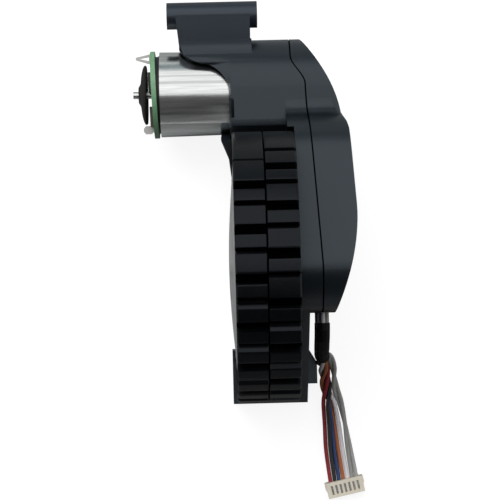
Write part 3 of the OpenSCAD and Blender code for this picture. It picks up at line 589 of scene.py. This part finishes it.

# Motor. Drawn steel can with bright plating and fine marks along its length, closed by a black
# end cap. Its shaft, the axle, the pins, the bearings and the screws are ground or plated steel.
# Four thin dark lines along the can, at these X with their half widths, are painted reflection: the dark
# gaps between the bright bands that the round can mirrors.
reflection_line_places = ((0.0173, 0.00012), (0.0191, 0.00018), (0.0276, 0.00016), (0.0303, 0.0001))
line_darkness = 0.55
steel = Finish("motor_steel", Metallic=1.0)
streaks = steel.noise(0.0006, 3.0, (1, 0.04, 1))
fine_marks = steel.noise(0.00022, 2.0, (1, 0.02, 1))
across = steel.axis("X")
reflection_lines = 1.0
for line_x, half in reflection_line_places:
    reflection_lines = reflection_lines * (1 - line_darkness * (1 - abs(across - line_x).step(half, 3 * half)))
shade = (0.55 * streaks + 0.45 * fine_marks) * reflection_lines
steel.set(Base_Color=steel.blend(shade.step(0.05, 0.68), (0.42, 0.435, 0.435), (0.93, 0.94, 0.93)),
          Roughness=0.15 + 0.12 * streaks)
steel.bump(fine_marks, 0.000003)
give(steel, "motor_can", "motor_shaft", "axle_bearings", "wheel_axle", "gear_pins",
     "axle_clip", "motor_screws", "wheel_screw", "plug_contacts", "cover_screws")

# Black mouldings. The motor's end cap, the spacer between it and the board, and the wheel's hub
# with its spokes are moulded of a satin black nylon.
black = Finish("black_plastic", Roughness=0.5)
soot = black.noise(0.002)
black.set(Base_Color=black.blend(soot, (0.008, 0.008, 0.009), (0.014, 0.014, 0.015)))
give(black, "board_spacer", "motor_end_cap", "wheel_hub")

# Motor terminals. Two tabs of tinned sheet metal that come out of the end cap, pass through the
# board and are soldered to it. Tin turns dull in patches.
tinned = Finish("tinned_sheet", Metallic=1.0)
dull = tinned.noise(0.0006, 3.0)
tinned.set(Base_Color=tinned.blend(dull, (0.42, 0.42, 0.41), (0.6, 0.6, 0.58)), Roughness=0.3 + 0.2 * dull)
give(tinned, "motor_terminals")

# Brass. The motor's front boss and the pinion that is pressed on its shaft are turned from brass
# bar, and the bare metal is darker in patches.
brass = Finish("brass", Metallic=1.0)
turned = brass.noise(0.001)
brass.set(Base_Color=brass.blend(turned, (0.5, 0.36, 0.16), (0.62, 0.46, 0.22)), Roughness=0.3)
give(brass, "motor_pinion", "motor_front_boss")

# Encoder. A round green glass-fibre board behind the motor with two small epoxy sensors, and a
# magnet disc of dark sintered ferrite that the motor's shaft carries past them.
board_green = Finish("board_green", Roughness=0.4)
weave = board_green.noise(0.0008)
board_green.set(Base_Color=board_green.blend(weave, (0.08, 0.19, 0.095), (0.15, 0.29, 0.17)))
give(board_green, "encoder_board")

epoxy = Finish("chip_epoxy", Specular_IOR_Level=0.4)
flow = epoxy.noise(0.0005, 3.0)
epoxy.set(Base_Color=epoxy.blend(flow, (0.03, 0.026, 0.022), (0.06, 0.053, 0.046)),
          Roughness=0.5 + 0.2 * flow)
give(epoxy, "hall_sensors")

ferrite = Finish("magnet_ferrite", Specular_IOR_Level=0.2)
sinter = ferrite.noise(0.0006, 4.0)
ferrite.set(Base_Color=ferrite.blend(sinter, (0.01, 0.0095, 0.009), (0.02, 0.018, 0.017)),
            Roughness=0.6 + 0.2 * sinter)
give(ferrite, "encoder_disc")

# Motor leads. Three short red leads with vinyl insulation, soldered to the board and led into
# the case beside the motor.
red = Finish("lead_red", Roughness=0.4)
red.set(Base_Color=red.blend(red.noise(0.002), (0.12, 0.006, 0.01), (0.2, 0.01, 0.014)))
give(red, "motor_leads")

# Tyre. One ring of soft black rubber, moulded with two rows of tread blocks that stand half a
# period apart; a deep groove and a shallow slanted slit part the blocks of each row by turns.
wheel_centre = np.array([0.06988299, 0.02125])
wheel_radius = 0.036
bore_radius = 0.03102
tyre_side = 0.0045
tyre_wide = 0.0164
row_split = 0.495
row_gap = 0.00035
groove_depth = 0.0026
slit_depth = 0.002
block_count = 18
period = math.radians(360 / block_count)
block_shares = (0.4, 0.215, 0.275)
tread_lead = math.radians(2)
wall_run = 0.00022
edge_round = 0.00045
edge_wear = 0.0001
open_bevel = 0.0013
opens_from, opens_over = 0.1, 0.15
join_run = 0.01
left_joined = (-1.45, -0.795)
right_joined = (-1.45, -1.09)


def row_depth(turn):
    """Depth of one tread row at an angle past the start of its wide block: 0 on the blocks,
    down a steep wall to the groove's floor, and in the slit down a wall and up a long slope."""
    at = np.mod(turn, period) * wheel_radius
    whole = period * wheel_radius
    wide, deep, narrow = (share * whole for share in block_shares)
    slit_from = wide + deep + narrow
    groove = groove_depth * ramp((at - wide) / wall_run) * ramp((wide + deep - at) / wall_run)
    slope = np.clip((whole - at) / (whole - slit_from - wall_run), 0, 1)
    slit = slit_depth * ramp((at - slit_from) / wall_run) * slope
    ends = np.array([wide, wide + deep, slit_from, whole])
    near = np.abs(at[..., None] - ends).min(-1)
    worn = edge_wear * np.clip(1 - near / edge_round, 0, 1) ** 2
    return np.maximum(np.maximum(groove, slit), worn)


def opened(depth, turn, signed):
    """Bevels the leading edges of the wide blocks on the free end's side, where the slits open."""
    at = np.mod(turn, period) * wheel_radius
    bevel = open_bevel * np.clip(1 - at / open_bevel, 0, 1)
    return np.maximum(depth, bevel * ramp((signed - opens_from) / opens_over))


def joined(depth, turn, low, high):
    """Fills the grooves of a row between two angles, where its blocks are moulded together."""
    return depth * (1 - ramp((turn - low) / join_run) * ramp((high - turn) / join_run))


def tread_turns():
    """Angles of the mesh columns: close together at the edges of the blocks of both rows."""
    wide, deep, narrow = (share * period for share in block_shares)
    ends = np.array([0, wide, wide + deep, wide + deep + narrow])
    millimetres = [-0.45, -0.2, -0.06, 0.0, 0.055, 0.11, 0.165, 0.22, 0.45, 0.85, 1.3]
    steps = np.array(millimetres) / 1000 / wheel_radius
    near = np.concatenate([(ends[:, None] + steps).ravel(), (ends[1:, None] - steps).ravel()])
    rows = np.concatenate([near, near + period / 2, np.linspace(0, period, 13)[:-1]])
    one = np.sort(np.mod(rows, period))
    one = one[np.concatenate([[True], np.diff(one) > 2e-4])]
    return (one[None] + period * np.arange(block_count)[:, None]).ravel()


def grid_faces(lines, columns, closed):
    """Quads between the lines of a grid, whose columns close on themselves; where closed, the
    last line joins the first."""
    i, j = np.meshgrid(np.arange(lines if closed else lines - 1), np.arange(columns), indexing="ij")
    i2, j2 = (i + 1) % lines, (j + 1) % columns
    rounds = [i * columns + j, i * columns + j2, i2 * columns + j2, i2 * columns + j]
    return np.stack(rounds, -1).reshape(-1, 4)


def about_axle(radii, turns, y):
    """Points at the given radii, turns and Y about the wheel's axis."""
    x = wheel_centre[0] + radii * np.sin(turns)
    z = wheel_centre[1] + radii * np.cos(turns)
    return np.stack([x, y, z], -1)


# Turns go from the top of the wheel towards the free end; signed runs from -pi to pi
turns = tread_turns()
signed = np.mod(turns + math.pi, 2 * math.pi) - math.pi
left_turns = turns + tread_lead + block_shares[0] * period / 2
right_turns = left_turns + period / 2
left_depth = joined(opened(row_depth(left_turns), left_turns, signed), signed, *left_joined)
right_depth = joined(opened(row_depth(right_turns), right_turns, signed), signed, *right_joined)

# One narrow cut is left in the joined blocks of the left row
cut_depth, cut_at, cut_half = 0.0008, -0.872, 0.012
left_depth = np.maximum(left_depth, cut_depth * np.clip(1 - np.abs(signed - cut_at) / cut_half, 0, 1))

# Section of the ring from its bore over both rows: Y of each point, and how far it lies inside
# the tread's radius where the shoulders and the split between the rows are rounded
split_y = tyre_side + tyre_wide * row_split
end_y = tyre_side + tyre_wide
split_extra = 0.0004
side_chamfer = 0.0002
bore_chamfer = 0.0003
shoulder = np.array([0, 0.15, 0.4, 0.8]) / 1000
shoulder_drop = np.array([0.5, 0.22, 0.06, 0]) / 1000
lip_in = np.array([0.3, 0.1, 0]) / 1000
lip_drop = np.array([0, 0.00004, 0.00016])
left_y = np.concatenate([tyre_side + shoulder, np.linspace(tyre_side + 0.0015, split_y - 0.0007, 6),
                         split_y - row_gap / 2 - lip_in])
right_y = np.concatenate([split_y + row_gap / 2 + lip_in[::-1],
                          np.linspace(split_y + 0.0007, end_y - 0.0015, 6), end_y - shoulder[::-1]])
left_drop = np.concatenate([shoulder_drop, np.zeros(6), lip_drop])
right_drop = np.concatenate([lip_drop[::-1], np.zeros(6), shoulder_drop[::-1]])
section_y = np.concatenate([
    [tyre_side + side_chamfer, tyre_side], left_y, [split_y - row_gap / 2, split_y + row_gap / 2],
    right_y, [end_y, end_y - side_chamfer]])
steady = np.ones((len(turns), 1))
split_floor = steady * (wheel_radius - groove_depth - split_extra)
section = np.concatenate([
    steady * bore_radius, steady * (bore_radius + bore_chamfer),
    wheel_radius - left_drop - left_depth[:, None], split_floor,
    split_floor, wheel_radius - right_drop - right_depth[:, None],
    steady * (bore_radius + bore_chamfer), steady * bore_radius], 1)
ring = about_axle(section, turns[:, None], np.broadcast_to(section_y, section.shape))
mesh = bpy.data.meshes.new("tread_tyre")
mesh.from_pydata(ring.reshape(-1, 3).tolist(), [], grid_faces(*section.shape, True).tolist())
mesh.shade_smooth()
mesh.set_sharp_from_angle(angle=math.radians(32))

# Rubber: dusty black; deep in the grooves, below the given radii, it is painted flat black, a painted
# shade.
groove_shade_radii = (0.0334, 0.0343)
rubber = Finish("tyre_rubber", Specular_IOR_Level=0.28, Specular_Tint=(0.8, 0.88, 1.0))
dusty = rubber.noise(0.004, 3.0)
rubber.set(Base_Color=rubber.blend(dusty, (0.0005, 0.0006, 0.0008), (0.0012, 0.0014, 0.0018)),
           Roughness=0.26 + 0.1 * dusty)
rubber.bump(rubber.noise(0.0004, 4.0), 0.00003)
radius = ((rubber.axis("X") - wheel_centre[0]) ** 2 + (rubber.axis("Z") - wheel_centre[1]) ** 2) ** 0.5
rubber.between(radius.step(*groove_shade_radii), rubber.node("BsdfDiffuse", Color=(0.0004, 0.0004, 0.0005)),
               rubber.shader)
mesh.materials.append(rubber.material)
give(rubber, "tyre")
tyre = placed("tread_tyre", mesh)
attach(tyre, "wheel")
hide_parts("tyre")

# Hub cap. A shallow crowned disc of mid grey plastic, pressed into the hub over its screw, with
# a groove inside its rim and five shallow hollows in its face.
cap_low, cap_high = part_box("hub_cap")
cap_radius = 0.0288
cap_columns = 120
rim_drop = 0.0005
groove_radius = 0.0252
cap_groove = 0.00022
groove_half, groove_wall = 0.0005, 0.0003
hollows = 5
hollow_depth = 0.00035
hollow_ends = (0.0085, 0.0232)
hollow_wall = 0.0012
hollow_side = 0.001
edge_drop, edge_run = 0.0002, 0.0005
screw_room = 0.0032
screw_room_y = 0.0039


def cap_surface(columns):
    """Disc turned about the wheel's axis: its face falls back from the middle by a cosine of the
    radius, and a ring groove and smooth hollows between two radii are sunk into it. Its back is
    flat, with round room for the screw's head."""
    radii = np.concatenate([
        np.linspace(0, 0.008, 6), np.linspace(0.0085, 0.0235, 26),
        groove_radius + np.array([-6, -4, -2, 2, 4, 6]) / 1e4,
        cap_radius - np.array([0.0014, 0.0007, 0.0003, 0.0001, 0.0])])
    turn = np.linspace(0, 2 * math.pi, columns, endpoint=False)
    r, a = np.meshgrid(radii, turn, indexing="ij")
    crown = (cap_high.y - cap_low.y - rim_drop) * (1 - np.cos(math.pi / 2 * r / cap_radius))
    ring = cap_groove * ramp((groove_half - np.abs(r - groove_radius)) / groove_wall)
    sector = (np.abs(np.mod(a * hollows / math.tau, 1) - 0.5) / hollows * math.tau) * r
    inner = ramp((r - hollow_ends[0]) / hollow_wall) * ramp((hollow_ends[1] - r) / hollow_wall)
    sunk = hollow_depth * inner * ramp((math.pi / hollows * r - hollow_wall - sector) / hollow_side)
    edge = edge_drop * np.clip(1 - (cap_radius - r) / edge_run, 0, 1) ** 2
    back_r = np.array([cap_radius, screw_room, screw_room, 0.0])
    back_y = np.array([cap_high.y, cap_high.y, screw_room_y, screw_room_y])
    r = np.concatenate([r, np.repeat(back_r[:, None], columns, 1)])
    a = np.concatenate([a, np.repeat(turn[None], len(back_r), 0)])
    y = np.concatenate([cap_low.y + crown + ring + sunk + edge, np.repeat(back_y[:, None], columns, 1)])
    return about_axle(r, a, y)


grid = cap_surface(cap_columns)
mesh = bpy.data.meshes.new("cap_face")
mesh.from_pydata(grid.reshape(-1, 3).tolist(), [], grid_faces(len(grid), cap_columns, False).tolist())
finish_closed(mesh, sharp_degrees=40)
cap_grey = Finish("cap_grey")
soft = cap_grey.noise(0.006)
matt = cap_grey.noise(0.0003, 3.0)
cap_grey.set(Base_Color=cap_grey.blend(soft, (0.26, 0.264, 0.264), (0.31, 0.314, 0.314)),
             Roughness=0.42 + 0.12 * matt)
cap_grey.bump(matt, 0.00002)
mesh.materials.append(cap_grey.material)
give(cap_grey, "hub_cap")
cap_face = placed("cap_face", mesh)
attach(cap_face, "wheel")
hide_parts("hub_cap")
